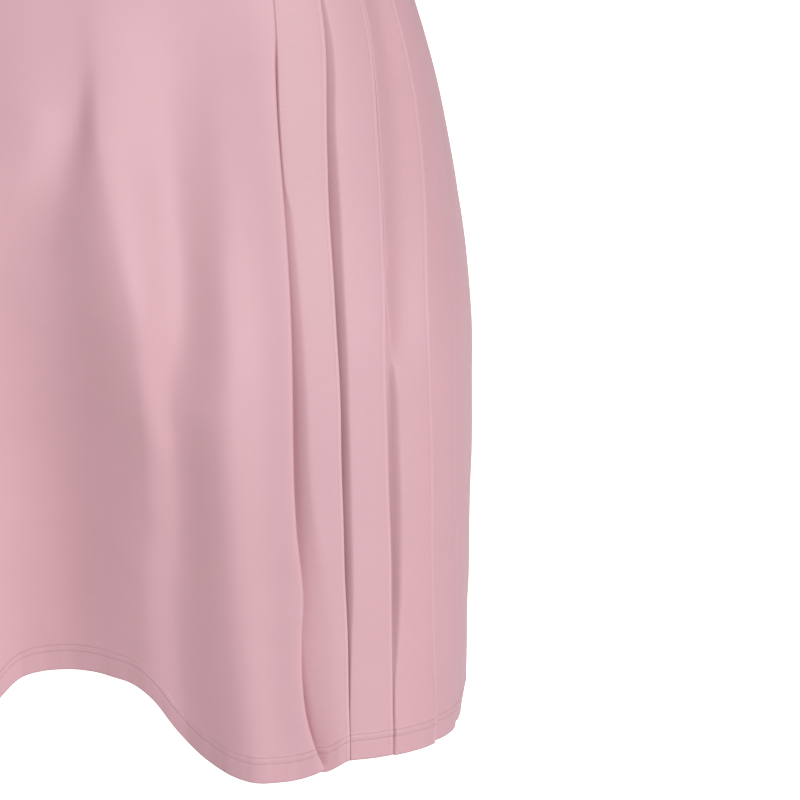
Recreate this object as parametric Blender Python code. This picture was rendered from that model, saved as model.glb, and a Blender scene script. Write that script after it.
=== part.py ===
"""Sleeveless athletic dress, filled out as it is when worn, with a skirt that is pleated at both sides.

Metres, +Z up, the front facing -Y and +X to the viewer's right. The origin is the middle of the shoulder
line, where the wearer holds the dress up. The skirt hangs round a plan curve that is nearly an ellipse at
the waist and squarer at the hem; `along` is a distance round that curve from centre front, and `out` is a
distance from it, outwards. The bodice is made of rows that run from the centre or the neckline across to
the side seam or the armhole.
"""

import math
from collections import namedtuple

import bpy

# Heights below the shoulder line
WAIST = -0.385
STITCHED_TO = -0.467
HIP = -0.530
MIDDLE = -0.650
HEM = -0.8430
UNDERARM = -0.200

# Cloth
PLEAT_CLOTH = 0.0010
KNIT = 0.0012
SEAM_GAP = 0.0004

# Pleats: knife pleats, each folded away from the front panel
PLEATS_A_SIDE = 12
CLOTH_PER_PLEAT = 0.0440
TURN_RADIUS = 0.0009
SEAM_TAB = 0.0030

Level = namedtuple("Level", "height half_width half_depth squareness pleat_rise front_edge front_lift")
LEVELS = (
    Level(-0.3850, 0.1380, 0.0880, 2.20, 0.0042, 0.0930, 0.0000),
    Level(-0.4250, 0.1525, 0.0885, 2.40, 0.0042, 0.0970, 0.0000),
    Level(-0.4670, 0.1655, 0.0920, 2.60, 0.0044, 0.1004, 0.0000),
    Level(-0.5150, 0.1778, 0.1030, 2.80, 0.0052, 0.1020, 0.0005),
    Level(-0.5700, 0.1880, 0.1180, 3.10, 0.0060, 0.1056, 0.0010),
    Level(-0.6300, 0.1948, 0.1280, 3.50, 0.0066, 0.1087, 0.0020),
    Level(-0.7000, 0.1952, 0.1310, 3.80, 0.0070, 0.1095, 0.0030),
    Level(-0.7750, 0.1940, 0.1310, 4.10, 0.0070, 0.1130, 0.0035),
    Level(-0.8430, 0.1920, 0.1300, 4.40, 0.0070, 0.1230, 0.0035),
)

# How far round from centre front each fold edge lies, at five heights; the later folds are a pitch apart
FoldEdge = namedtuple("FoldEdge", "waist stitched hip middle hem")
FOLD_HEIGHTS = FoldEdge(WAIST, STITCHED_TO, HIP, MIDDLE, HEM)
FIRST_FOLDS = (
    FoldEdge(0.1105, 0.1252, 0.1262, 0.1316, 0.1362),
    FoldEdge(0.1275, 0.1495, 0.1545, 0.1568, 0.1594),
    FoldEdge(0.1445, 0.1735, 0.1840, 0.1828, 0.1860),
    FoldEdge(0.1610, 0.1955, 0.2105, 0.2030, 0.2120),
    FoldEdge(0.1775, 0.2160, 0.2335, 0.2265, 0.2350),
    FoldEdge(0.1940, 0.2350, 0.2550, 0.2500, 0.2580),
)
PITCH = FoldEdge(0.0165, 0.0200, 0.0215, 0.0235, 0.0240)

# Hem of the front panel on either side of centre front: an arch, high in the middle
HemPoint = namedtuple("HemPoint", "along height")
HEM_LINE = (
    HemPoint(0.000, -0.8045),
    HemPoint(0.014, -0.8055),
    HemPoint(0.026, -0.8080),
    HemPoint(0.036, -0.8152),
    HemPoint(0.048, -0.8308),
    HemPoint(0.058, -0.8405),
    HemPoint(0.070, -0.8475),
    HemPoint(0.084, -0.8515),
    HemPoint(0.100, -0.8519),
    HemPoint(0.112, -0.8501),
    HemPoint(0.123, -0.8455),
)

# Each pleat's face lies low under the fold before it, climbs a ramp that begins just short of that fold and
# shows for this far beyond it, beside the front panel and elsewhere, and then runs flat to its own fold. The
# first pleat's face has climbed a share of its height before its ramp begins
RAMP_STARTS = 0.0012
LEAST_RAMP = 0.0030
Ramp = namedtuple("Ramp", "height first later first_lifted")
RAMPS = (
    Ramp(-0.385, 0.0014, 0.0014, 0.00),
    Ramp(-0.455, 0.0014, 0.0016, 0.00),
    Ramp(-0.485, 0.0016, 0.0044, 0.00),
    Ramp(-0.520, 0.0020, 0.0050, 0.15),
    Ramp(-0.560, 0.0050, 0.0052, 0.40),
    Ramp(-0.650, 0.0055, 0.0048, 0.50),
    Ramp(-0.727, 0.0055, 0.0038, 0.50),
    Ramp(-0.776, 0.0060, 0.0020, 0.50),
    Ramp(-0.815, 0.0070, 0.0010, 0.50),
    Ramp(-0.843, 0.0070, 0.0009, 0.50),
)

# The first pleat's hem slants down to the front panel's
FIRST_PLEAT_DIP = 0.0060

# How the plain panels are divided and blended into the folded cloth beside them
FRONT_COLUMNS = 15
FRONT_COLUMN_CROWDING = 0.8
FRONT_EDGE_ROLL = 0.040
BACK_COLUMNS = 29
BACK_FLAT_SEAM = 0.012
BACK_FLAT_BLEND = 0.030
FRONT_ROWS = 12
BACK_ROWS = 9
PLEAT_ROWS = 9
ROW_CROWDING = 1.2
TANGENT_STEP = 0.003
SHARPEST_MITRE = 0.6

# Soft creases of the front panel at each height, from the viewer's left to the right: where each runs and
# how far the cloth stands out there, or in, below zero
Creases = namedtuple("Creases", "height side_trough side_crest left_trough centre slant_crest dip outer_crest")
FRONT_CREASES = (
    Creases(-0.385, (-.084, .0000), (-.068, .0000), (-.036, .0000), (-.009, .0000),
            (.014, .0000), (.046, .0000), (.070, .0000)),
    Creases(-0.450, (-.086, .0000), (-.068, .0020), (-.036, .0030), (-.004, .0030),
            (.015, .0032), (.046, .0015), (.074, .0012)),
    Creases(-0.500, (-.088, .0010), (-.068, .0050), (-.034, .0064), (.004, .0048),
            (.014, .0056), (.048, .0014), (.074, .0026)),
    Creases(-0.530, (-.088, .0000), (-.068, .0046), (-.020, .0070), (.003, .0042),
            (.014, .0085), (.048, .0012), (.076, .0042)),
    Creases(-0.560, (-.090, -.0024), (-.070, .0030), (-.028, .0030), (-.004, .0020),
            (.018, .0090), (.050, .0010), (.078, .0060)),
    Creases(-0.590, (-.092, -.0054), (-.072, .0010), (-.040, -.0040), (-.012, -.0030),
            (.022, .0092), (.054, .0022), (.078, .0082)),
    Creases(-0.620, (-.094, -.0080), (-.074, -.0020), (-.046, -.0090), (-.012, -.0064),
            (.028, .0090), (.054, .0026), (.080, .0104)),
    Creases(-0.650, (-.094, -.0110), (-.076, -.0060), (-.048, -.0150), (-.013, -.0140),
            (.031, .0052), (.050, .0020), (.079, .0110)),
    Creases(-0.680, (-.096, -.0130), (-.078, -.0080), (-.050, -.0210), (-.014, -.0210),
            (.034, .0010), (.051, -.0010), (.079, .0105)),
    Creases(-0.710, (-.098, -.0140), (-.080, -.0090), (-.052, -.0270), (-.014, -.0275),
            (.035, -.0050), (.052, -.0040), (.080, .0090)),
    Creases(-0.740, (-.098, -.0150), (-.082, -.0100), (-.052, -.0300), (-.014, -.0315),
            (.035, -.0080), (.052, -.0055), (.081, .0086)),
    Creases(-0.770, (-.100, -.0160), (-.084, -.0100), (-.054, -.0320), (-.014, -.0325),
            (.032, -.0100), (.050, -.0070), (.083, .0086)),
    Creases(-0.843, (-.104, -.0170), (-.086, -.0080), (-.054, -.0340), (-.014, -.0345),
            (.033, -.0140), (.054, -.0095), (.089, .0090)),
)

# Soft folds of the back panel: where each lies at the top and at the hem, its half-width, how far it stands
# out (or in, below zero) at the hem, and the share of the skirt's height at which it begins
Drape = namedtuple("Drape", "along_top along_hem spread rise begins")
BACK_DRAPE = (
    Drape(0.006, 0.012, 0.034, -0.016, 0.15),
    Drape(0.060, 0.078, 0.026, 0.009, 0.12),
    Drape(-0.052, -0.070, 0.030, 0.008, 0.20),
    Drape(-0.095, -0.125, 0.022, -0.008, 0.25),
    Drape(0.100, 0.128, 0.020, -0.007, 0.22),
)

# Bodice, a plain sleeveless top
Girth = namedtuple("Girth", "height half_width half_depth")
GIRTHS = (
    Girth(-0.385, 0.138, 0.088),
    Girth(-0.330, 0.141, 0.096),
    Girth(-0.260, 0.153, 0.112),
    Girth(-0.200, 0.160, 0.114),
)
BODICE_SQUARENESS = 2.3
BODICE_COLUMNS = 11
BODICE_SURFACE_STEP = 0.004
NECK_HALF_WIDTH = 0.085
SHOULDER_TIP = 0.130
SHOULDER_DROP = 0.030
ARMHOLE_INSET = 0.121
ARMHOLE_NARROWEST = 0.55
FRONT_NECK_DROP = 0.110
BACK_NECK_DROP = 0.055
BODICE_CLIMBS_BELOW = (-1.0, -0.72, -0.45, -0.20, 0.0)
BODICE_CLIMBS_TO_NECK = (0.05, 0.16, 0.35, 0.65, 1.0)
BODICE_EDGE_SPACING = math.radians(2.0)
BODICE_CLIMBS_ABOVE = (0.020, 0.075, 0.16, 0.29, 0.45, 0.63, 0.82, 1.0)

Cloth = namedtuple("Cloth", "name colour roughness")
SMOOTH_KNIT = Cloth("smooth_knit", (0.68, 0.43, 0.46), 0.75)
WOVEN_PLEAT = Cloth("pleat_cloth", (0.70, 0.45, 0.48), 0.80)


def clear_scene():
    for item in list(bpy.data.objects):
        bpy.data.objects.remove(item, do_unlink=True)


def smoothstep(value):
    value = min(1.0, max(0.0, value))
    return value * value * (3.0 - 2.0 * value)


def mix(start, end, share):
    return start + (end - start) * share


def smooth_value(places, values, place):
    """A smooth curve through the values, read at one place; the places may run up or down."""
    last = len(places) - 1
    turn = 1.0 if places[last] > places[0] else -1.0
    step = 0
    while step < last - 1 and turn * place > turn * places[step + 1]:
        step += 1

    def slope(index):
        before = max(0, index - 1)
        after = min(last, index + 1)
        return (values[after] - values[before]) / (places[after] - places[before])

    width = places[step + 1] - places[step]
    share = min(1.0, max(0.0, (place - places[step]) / width))
    square = share * share
    cube = square * share
    return ((2 * cube - 3 * square + 1) * values[step] + (cube - 2 * square + share) * width * slope(step)
            + (3 * square - 2 * cube) * values[step + 1] + (cube - square) * width * slope(step + 1))


def read_row(rows, height):
    """A row of a table at any height, smoothed between the rows that the table has."""
    places = [row.height for row in rows]
    fields = zip(*rows)
    return rows[0]._make(smooth_value(places, values, height) for values in fields)


class Plan:
    """The curve that the skirt hangs round at one height."""

    STEPS = 360

    def __init__(self, height):
        self.level = read_row(LEVELS, height)
        power = 2.0 / self.level.squareness
        self.points = []
        self.lengths = [0.0]
        for step in range(self.STEPS + 1):
            angle = math.pi * step / self.STEPS
            across = self.level.half_width * math.sin(angle) ** power if 0 < step < self.STEPS else 0.0
            back = -math.copysign(abs(math.cos(angle)) ** power, math.cos(angle)) * self.level.half_depth
            self.points.append((across, back))
        for (x0, y0), (x1, y1) in zip(self.points, self.points[1:]):
            self.lengths.append(self.lengths[-1] + math.hypot(x1 - x0, y1 - y0))
        self.half_round = self.lengths[-1]

    def on_curve(self, along):
        if along < 0.0:
            x, y = self.on_curve(-along)
            return -x, y
        if along > self.half_round:
            x, y = self.on_curve(2.0 * self.half_round - along)
            return -x, y
        low, high = 0, self.STEPS
        while high - low > 1:
            middle = (low + high) // 2
            if self.lengths[middle] <= along:
                low = middle
            else:
                high = middle
        share = (along - self.lengths[low]) / (self.lengths[high] - self.lengths[low])
        (x0, y0), (x1, y1) = self.points[low], self.points[high]
        return mix(x0, x1, share), mix(y0, y1, share)

    def place(self, along, out):
        """The point at a distance round the curve, moved out from it."""
        x, y = self.on_curve(along)
        x0, y0 = self.on_curve(along - TANGENT_STEP)
        x1, y1 = self.on_curve(along + TANGENT_STEP)
        length = math.hypot(x1 - x0, y1 - y0)
        return x + out * (y1 - y0) / length, y - out * (x1 - x0) / length


def fold_edges(height):
    """Distances round to every fold edge of one side at a height, the front panel's own edge first."""
    edges = [read_row(LEVELS, height).front_edge]
    for fold in FIRST_FOLDS:
        edges.append(smooth_value(FOLD_HEIGHTS, fold, height))
    pitch = smooth_value(FOLD_HEIGHTS, PITCH, height)
    while len(edges) <= PLEATS_A_SIDE:
        edges.append(edges[-1] + pitch)
    return edges


def underlap(height):
    """How far each pleat turns back under its fold edge."""
    return (CLOTH_PER_PLEAT - smooth_value(FOLD_HEIGHTS, PITCH, height)) / 2.0


def fold_turn(edge, rise):
    """The three points of a fold edge, over the layer below it."""
    return [(edge - TURN_RADIUS, rise / 2 + TURN_RADIUS), (edge, rise / 2),
            (edge - TURN_RADIUS, rise / 2 - TURN_RADIUS)]


def inner_turn(edge, rise):
    """The three points where a pleat turns forward again, under the layer above it."""
    return [(edge + TURN_RADIUS, TURN_RADIUS - rise / 2), (edge, -rise / 2),
            (edge + TURN_RADIUS, -TURN_RADIUS - rise / 2)]


def point_between(start, end, along):
    share = (along - start[0]) / (end[0] - start[0])
    return along, mix(start[1], end[1], share)


def ramp_points(start, end, fold_before, shown, lifted):
    """The foot and the head of the ramp in a pleat's face."""
    return [(fold_before - RAMP_STARTS, mix(start[1], end[1], lifted)), (fold_before + max(shown, LEAST_RAMP), end[1])]


def pleat_section(height):
    """The middle line of one side's pleats at a height, from the seam under the front panel's edge."""
    rise = read_row(LEVELS, height).pleat_rise
    ramp = read_row(RAMPS, height)
    lap = underlap(height)
    edges = fold_edges(height)
    section = []
    for number, edge in enumerate(edges):
        turned_over = fold_turn(edge, rise)
        turned_under = inner_turn(edge - lap, rise)
        if number == 0:
            section.append(point_between(turned_over[2], turned_under[0], turned_under[0][0] + SEAM_TAB))
        else:
            shown, lifted = (ramp.first, ramp.first_lifted) if number == 1 else (ramp.later, 0.0)
            section.extend(ramp_points(section[-1], turned_over[0], edges[number - 1], shown, lifted))
            section.extend(turned_over)
        section.extend(turned_under)
    rest = (edges[-1] + edges[-1] - edges[-2], rise / 2)
    section.append(point_between(section[-1], rest, section[-1][0] + SEAM_TAB))
    return section


def crease_line(height, edge):
    """The places and the depths of the front panel's creases at a height, from edge to edge."""
    heights = [row.height for row in FRONT_CREASES]
    places = [-edge]
    outs = [0.0]
    for crease in list(zip(*FRONT_CREASES))[1:]:
        places.append(smooth_value(heights, [place for place, _ in crease], height))
        outs.append(smooth_value(heights, [out for _, out in crease], height))
    return places + [edge], outs + [0.0]


def drape_out(folds, along, share):
    """How far the soft folds move the back panel out, at a share of the skirt's height."""
    out = 0.0
    for fold in folds:
        centre = mix(fold.along_top, fold.along_hem, share)
        grown = smoothstep((share - fold.begins) / (1.0 - fold.begins))
        out += fold.rise * grown * math.exp(-((along - centre) / fold.spread) ** 2)
    return out


def front_section(height):
    """The middle line of the front panel at a height, with the edge of each side turned under."""
    level = read_row(LEVELS, height)
    lap = underlap(height)
    edge = level.front_edge
    rise = level.pleat_rise
    half_turn = rise / 2 + TURN_RADIUS
    places, outs = crease_line(height, edge)
    right = []
    left = []
    for column in range(FRONT_COLUMNS):
        along = (edge - TURN_RADIUS) * (column / (FRONT_COLUMNS - 1)) ** FRONT_COLUMN_CROWDING
        inset = smoothstep((edge - along) / FRONT_EDGE_ROLL)
        base = half_turn - 2.0 * half_turn * inset + level.front_lift * (1.0 - 0.5 * inset)
        right.append((along, base + inset * smooth_value(places, outs, along)))
        left.append((-along, base + inset * smooth_value(places, outs, -along)))
    tip = (edge, rise / 2 + level.front_lift)
    below = (edge - TURN_RADIUS, rise / 2 - TURN_RADIUS + level.front_lift)
    under = inner_turn(edge - lap, rise)[0]
    seam = point_between(below, under, under[0] + SEAM_TAB + SEAM_GAP)
    turned = [tip, below, seam]
    return [(-a, o) for a, o in reversed(turned)] + left[:0:-1] + right + turned


def back_section(height, share):
    """The middle line of the back panel, between the last pleats; `along` runs on past centre back."""
    plan = Plan(height)
    rise = plan.level.pleat_rise
    lap = underlap(height)
    edges = fold_edges(height)
    under = inner_turn(edges[-1] - lap, rise)[2]
    start = under[0] + SEAM_TAB + SEAM_GAP
    slope = (rise + 2.0 * TURN_RADIUS) / (edges[-1] - edges[-2] + lap)
    width = 2.0 * (plan.half_round - start)
    section = []
    for column in range(BACK_COLUMNS):
        from_seam = width * column / (BACK_COLUMNS - 1)
        near = min(from_seam, width - from_seam)
        base = min(0.0, under[1] + slope * (near + SEAM_TAB))
        along = start + from_seam
        away = smoothstep((near - BACK_FLAT_SEAM) / BACK_FLAT_BLEND)
        section.append((along, base + away * drape_out(BACK_DRAPE, plan.half_round - along, share)))
    return section


def offset_line(line, distance):
    """A line moved sideways by a distance, with mitred corners; to its left when it is above zero."""
    moved = []
    for index, (a, o) in enumerate(line):
        a0, o0 = line[max(0, index - 1)]
        a1, o1 = line[min(len(line) - 1, index + 1)]
        before = (a - a0, o - o0) if index > 0 else (a1 - a, o1 - o)
        after = (a1 - a, o1 - o) if index < len(line) - 1 else before
        long_before = math.hypot(*before)
        long_after = math.hypot(*after)
        normal_a = -before[1] / long_before - after[1] / long_after
        normal_o = before[0] / long_before + after[0] / long_after
        long_normal = math.hypot(normal_a, normal_o)
        cosine = long_normal / 2.0
        reach = distance / (long_normal * max(cosine, SHARPEST_MITRE))
        moved.append((a + normal_a * reach, o + normal_o * reach))
    return moved


def two_triangles(corners):
    """A four-sided face split across its first corner, so that both skins of a wall are split alike."""
    return corners[:3], (corners[0], corners[2], corners[3])


def wall_object(name, cloth, outer, inner):
    """A closed wall from two grids of points, the outer rows and the inner rows, each from the top down."""
    rows = len(outer)
    columns = len(outer[0])
    points = [point for row in outer for point in row] + [point for row in inner for point in row]
    inside = rows * columns

    def at(row, column):
        return row * columns + column

    faces = []
    for row in range(rows - 1):
        for column in range(columns - 1):
            corners = (at(row, column), at(row + 1, column), at(row + 1, column + 1), at(row, column + 1))
            for triangle in two_triangles(corners):
                faces.append(triangle)
                faces.append(tuple(inside + corner for corner in reversed(triangle)))
    for row in range(rows - 1):
        for column, first, second in ((0, row, row + 1), (columns - 1, row + 1, row)):
            start, end = at(first, column), at(second, column)
            faces.extend(two_triangles((start, inside + start, inside + end, end)))
    for column in range(columns - 1):
        for row, first, second in ((0, column + 1, column), (rows - 1, column, column + 1)):
            start, end = at(row, first), at(row, second)
            faces.extend(two_triangles((start, inside + start, inside + end, end)))
    return new_object(name, cloth, points, faces)


def new_object(name, cloth, points, faces):
    mesh = bpy.data.meshes.new(name)
    mesh.from_pydata(points, [], faces)
    mesh.update()
    item = bpy.data.objects.new(name, mesh)
    item.data.materials.append(cloth_material(cloth))
    bpy.context.scene.collection.objects.link(item)
    return item


def cloth_material(cloth):
    found = bpy.data.materials.get(cloth.name)
    if found:
        return found
    material = bpy.data.materials.new(cloth.name)
    material.use_nodes = True
    shader = material.node_tree.nodes["Principled BSDF"]
    shader.inputs["Base Color"].default_value = (*cloth.colour, 1.0)
    shader.inputs["Roughness"].default_value = cloth.roughness
    shader.inputs["Metallic"].default_value = 0.0
    return material


def skirt_shares(count):
    """Shares of the skirt's height, closer together where it widens below the waist."""
    return [(step / (count - 1)) ** ROW_CROWDING for step in range(count)]


def front_hem(along):
    """Height of the front panel's hem at a distance round from centre front."""
    alongs, heights = zip(*HEM_LINE)
    return smooth_value(alongs, heights, abs(along))


def pleat_hem(along, edge, first_fold):
    """Height of the pleats' hem, level but for the first pleat."""
    return HEM - FIRST_PLEAT_DIP * (1.0 - smoothstep((along - edge) / (first_fold - edge)))


def level_hem(along):
    return HEM


def skirt_wall(name, cloth, thickness, section_at, count, hem_at=level_hem):
    """A panel of the skirt: its section at each height, made a wall of the cloth's thickness."""
    outer = []
    inner = []
    for share in skirt_shares(count):
        height = mix(WAIST, HEM, share)
        plan = Plan(height)
        line = section_at(height, share)
        for rows, side in ((outer, 0.5), (inner, -0.5)):
            row = []
            for (along, out), (middle, _) in zip(offset_line(line, side * thickness), line):
                x, y = plan.place(along, out)
                row.append((x, y, mix(WAIST, hem_at(middle), share)))
            rows.append(row)
    return wall_object(name, cloth, outer, inner)


def mirrored(item, name):
    """The same piece for the other side, with its faces turned to point outwards again."""
    points = [(-vertex.co.x, vertex.co.y, vertex.co.z) for vertex in item.data.vertices]
    faces = [tuple(reversed(face.vertices)) for face in item.data.polygons]
    return new_object(name, WOVEN_PLEAT, points, faces)


def make_skirt():
    edge = LEVELS[-1].front_edge
    first_fold = FIRST_FOLDS[0].hem
    skirt_wall("front_skirt_panel", SMOOTH_KNIT, KNIT, lambda height, share: front_section(height),
               FRONT_ROWS, front_hem)
    skirt_wall("back_skirt_panel", SMOOTH_KNIT, KNIT, back_section, BACK_ROWS)
    left = skirt_wall("wearer_left_pleats", WOVEN_PLEAT, PLEAT_CLOTH,
                      lambda height, share: pleat_section(height), PLEAT_ROWS,
                      lambda along: pleat_hem(along, edge, first_fold))
    mirrored(left, "wearer_right_pleats")


def shoulder_height(across):
    """Height of the shoulder seam, which slopes down from the neck to the tip."""
    slope = SHOULDER_DROP / (SHOULDER_TIP - NECK_HALF_WIDTH)
    return -slope * max(0.0, abs(across) - NECK_HALF_WIDTH)


def bodice_point(angle, climb, facing):
    """A point of the bodice's middle surface.

    `angle` turns from centre (0) to the side seam (a quarter turn). `climb` is -1 at the waist, 0 at the
    underarm and 1 on the shoulder seam. `facing` is -1 for the front and 1 for the back.
    """
    height = mix(UNDERARM, WAIST, -climb) if climb < 0.0 else UNDERARM
    girth = read_row(GIRTHS, height)
    power = 2.0 / BODICE_SQUARENESS
    across = math.copysign(girth.half_width * math.sin(abs(angle)) ** power, angle)
    depth = girth.half_depth * max(0.0, math.cos(angle)) ** power
    if climb > 0.0:
        turn = climb * math.pi / 2.0
        height = mix(UNDERARM, shoulder_height(across), math.sin(turn))
        depth *= math.cos(turn)
    return across, facing * max(depth, SEAM_GAP), height


def bodice_angle(across):
    """The angle at which the bodice reaches a given width, from the underarm upwards."""
    return math.asin(min(1.0, across / GIRTHS[-1].half_width) ** (BODICE_SQUARENESS / 2.0))


def neck_angle(climb, neck_drop):
    """Where the neckline crosses a climb: an ellipse, open from its lowest point up to the shoulder."""
    height = UNDERARM * (1.0 - math.sin(climb * math.pi / 2.0)) if climb > 0.0 else UNDERARM
    below = min(1.0, -height / neck_drop)
    return bodice_angle(NECK_HALF_WIDTH * math.sqrt(1.0 - below * below))


def armhole_angle(climb):
    """Where the armhole crosses a climb: a quarter ellipse from the underarm, then out to the shoulder tip."""
    if climb <= 0.0:
        return math.pi / 2.0
    width = GIRTHS[-1].half_width
    if climb < ARMHOLE_NARROWEST:
        share = 1.0 - climb / ARMHOLE_NARROWEST
        return bodice_angle(width - (width - ARMHOLE_INSET) * math.sqrt(1.0 - share * share))
    share = (climb - ARMHOLE_NARROWEST) / (1.0 - ARMHOLE_NARROWEST)
    return bodice_angle(mix(ARMHOLE_INSET, SHOULDER_TIP, share * share))


def bodice_normal(angle, climb, facing):
    """Outward direction of the bodice's surface, from points a small step away each way."""
    step = BODICE_SURFACE_STEP
    ax, ay, az = bodice_point(min(angle + step, math.pi / 2.0), climb, facing)
    bx, by, bz = bodice_point(max(angle - step, -math.pi / 2.0), climb, facing)
    cx, cy, cz = bodice_point(angle, min(climb + step, 1.0), facing)
    dx, dy, dz = bodice_point(angle, max(climb - step, -1.0), facing)
    ux, uy, uz = ax - bx, ay - by, az - bz
    vx, vy, vz = cx - dx, cy - dy, cz - dz
    nx, ny, nz = uy * vz - uz * vy, uz * vx - ux * vz, ux * vy - uy * vx
    length = math.sqrt(nx * nx + ny * ny + nz * nz) * -facing
    return nx / length, ny / length, nz / length


def bodice_half_row(climb, neck_drop, facing):
    """Outer and inner points of one row, from the centre or the neckline to the side or the armhole."""
    pairs = []
    start = neck_angle(climb, neck_drop)
    end = armhole_angle(climb)
    last = BODICE_COLUMNS - 1
    spacing = min(BODICE_EDGE_SPACING, (end - start) / last)
    for column in range(BODICE_COLUMNS):
        angle = max(math.pi / 2.0 * column / last, start + spacing * column)
        angle = min(angle, end - spacing * (last - column))
        x, y, z = bodice_point(angle, climb, facing)
        nx, ny, nz = bodice_normal(angle, climb, facing)
        reach = KNIT / 2.0
        if climb <= -1.0:
            z += SEAM_GAP
            nz = 0.0
        pairs.append(((x + nx * reach, y + ny * reach, z + nz * reach),
                      (x - nx * reach, y - ny * reach, z - nz * reach)))
    return pairs


def bodice_wall(name, neck_drop, facing):
    """A bodice piece as one closed wall; its two halves share the centre points below the neckline."""
    neck_bottom = math.asin(1.0 + neck_drop / UNDERARM) / (math.pi / 2.0)
    climbs = list(BODICE_CLIMBS_BELOW)
    climbs += [neck_bottom * share for share in BODICE_CLIMBS_TO_NECK]
    climbs += [mix(neck_bottom, 1.0, share) for share in BODICE_CLIMBS_ABOVE]
    neck_row = len(BODICE_CLIMBS_BELOW) + len(BODICE_CLIMBS_TO_NECK) - 1
    points = []
    numbers = {}
    for row, climb in enumerate(climbs):
        for column, pair in enumerate(bodice_half_row(climb, neck_drop, facing)):
            for side in (1, -1):
                shared = column == 0 and row <= neck_row
                for layer, (x, y, z) in enumerate(pair):
                    if shared and side < 0:
                        numbers[side, row, column, layer] = numbers[1, row, column, layer]
                        continue
                    numbers[side, row, column, layer] = len(points)
                    points.append((0.0 if shared else side * x, y, z))
    faces = []
    rows = len(climbs)
    last = BODICE_COLUMNS - 1

    def add_face(corners, turned):
        for triangle in two_triangles(tuple(numbers[corner] for corner in corners)):
            faces.append(tuple(reversed(triangle)) if turned else triangle)

    for side in (1, -1):
        turned = side * facing > 0
        for row in range(rows - 1):
            for column in range(last):
                for layer in (0, 1):
                    add_face([(side, row, column, layer), (side, row, column + 1, layer),
                              (side, row + 1, column + 1, layer), (side, row + 1, column, layer)],
                             turned != (layer == 1))
            add_face([(side, row, last, 0), (side, row, last, 1),
                      (side, row + 1, last, 1), (side, row + 1, last, 0)], turned)
            if row >= neck_row:
                add_face([(side, row, 0, 0), (side, row + 1, 0, 0),
                          (side, row + 1, 0, 1), (side, row, 0, 1)], turned)
        for column in range(last):
            add_face([(side, 0, column, 0), (side, 0, column, 1),
                      (side, 0, column + 1, 1), (side, 0, column + 1, 0)], turned)
            add_face([(side, rows - 1, column, 0), (side, rows - 1, column + 1, 0),
                      (side, rows - 1, column + 1, 1), (side, rows - 1, column, 1)], turned)
    return new_object(name, SMOOTH_KNIT, points, faces)


def make_bodice():
    bodice_wall("front_bodice", FRONT_NECK_DROP, -1)
    bodice_wall("back_bodice", BACK_NECK_DROP, 1)


def main():
    clear_scene()
    make_skirt()
    make_bodice()


main()
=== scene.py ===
# %% [markdown]
# # An athletic dress with pleated sides
# The dress is sewn from six pieces: two bodice pieces, a smooth panel at the front and at the back of the
# skirt, and a strip of knife pleats at each side. It is filled out as if it were worn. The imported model
# has these pieces as plain walls of cloth. This lesson loads it as a fixed frame and puts finer cloth in
# the same places, with the soft folds, hems, stitches and finish that the plain walls leave out.

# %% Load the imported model
import math
from collections import namedtuple

import bpy
import numpy as np
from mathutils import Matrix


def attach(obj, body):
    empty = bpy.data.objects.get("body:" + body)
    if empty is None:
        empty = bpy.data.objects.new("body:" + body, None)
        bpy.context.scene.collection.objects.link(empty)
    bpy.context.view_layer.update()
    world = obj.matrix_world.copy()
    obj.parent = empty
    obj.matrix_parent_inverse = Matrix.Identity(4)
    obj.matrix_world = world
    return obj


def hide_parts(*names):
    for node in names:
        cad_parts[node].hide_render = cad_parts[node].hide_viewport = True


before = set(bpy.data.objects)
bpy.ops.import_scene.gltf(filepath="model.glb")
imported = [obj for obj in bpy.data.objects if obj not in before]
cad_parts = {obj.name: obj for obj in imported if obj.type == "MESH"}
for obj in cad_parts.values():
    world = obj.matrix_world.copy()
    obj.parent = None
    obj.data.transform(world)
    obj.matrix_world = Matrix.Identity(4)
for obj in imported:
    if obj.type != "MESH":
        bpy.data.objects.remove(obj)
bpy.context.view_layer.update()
bpy.ops.object.select_all(action="DESELECT")
print("nodes", sorted(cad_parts))

# %% [markdown]
# ## Camera
# The photograph is a close-up of the lower part of the skirt, taken from above the hem. A long lens keeps
# the folds nearly parallel, so the camera stands well back and looks down by fifteen degrees.

# %% Place the camera
camera_data = bpy.data.cameras.new("camera")
camera_data.lens = 153
camera_data.sensor_width = 36
camera = bpy.data.objects.new("camera", camera_data)
camera.location = (0.162, -1.757, -0.215)
camera.rotation_euler = (math.radians(75), 0, 0)
bpy.context.scene.collection.objects.link(camera)
bpy.context.scene.camera = camera
print("camera at", tuple(round(value, 3) for value in camera.location))

# %% [markdown]
# ## Measures of the skirt
# Cloth is easiest to place in its own two measures: `along`, the distance round the body from centre
# front, and `out`, the distance from the curve that the skirt hangs round. A table gives that curve at a
# few heights, and smooth curves through the table give it everywhere else. These are the sizes that the
# plain walls were made from, so the fine cloth lies where they do.

# %% Heights and the plan of the skirt
WAIST = -0.385
STITCHED_TO = -0.467
HIP = -0.530
MIDDLE = -0.650
HEM = -0.8430

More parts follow.
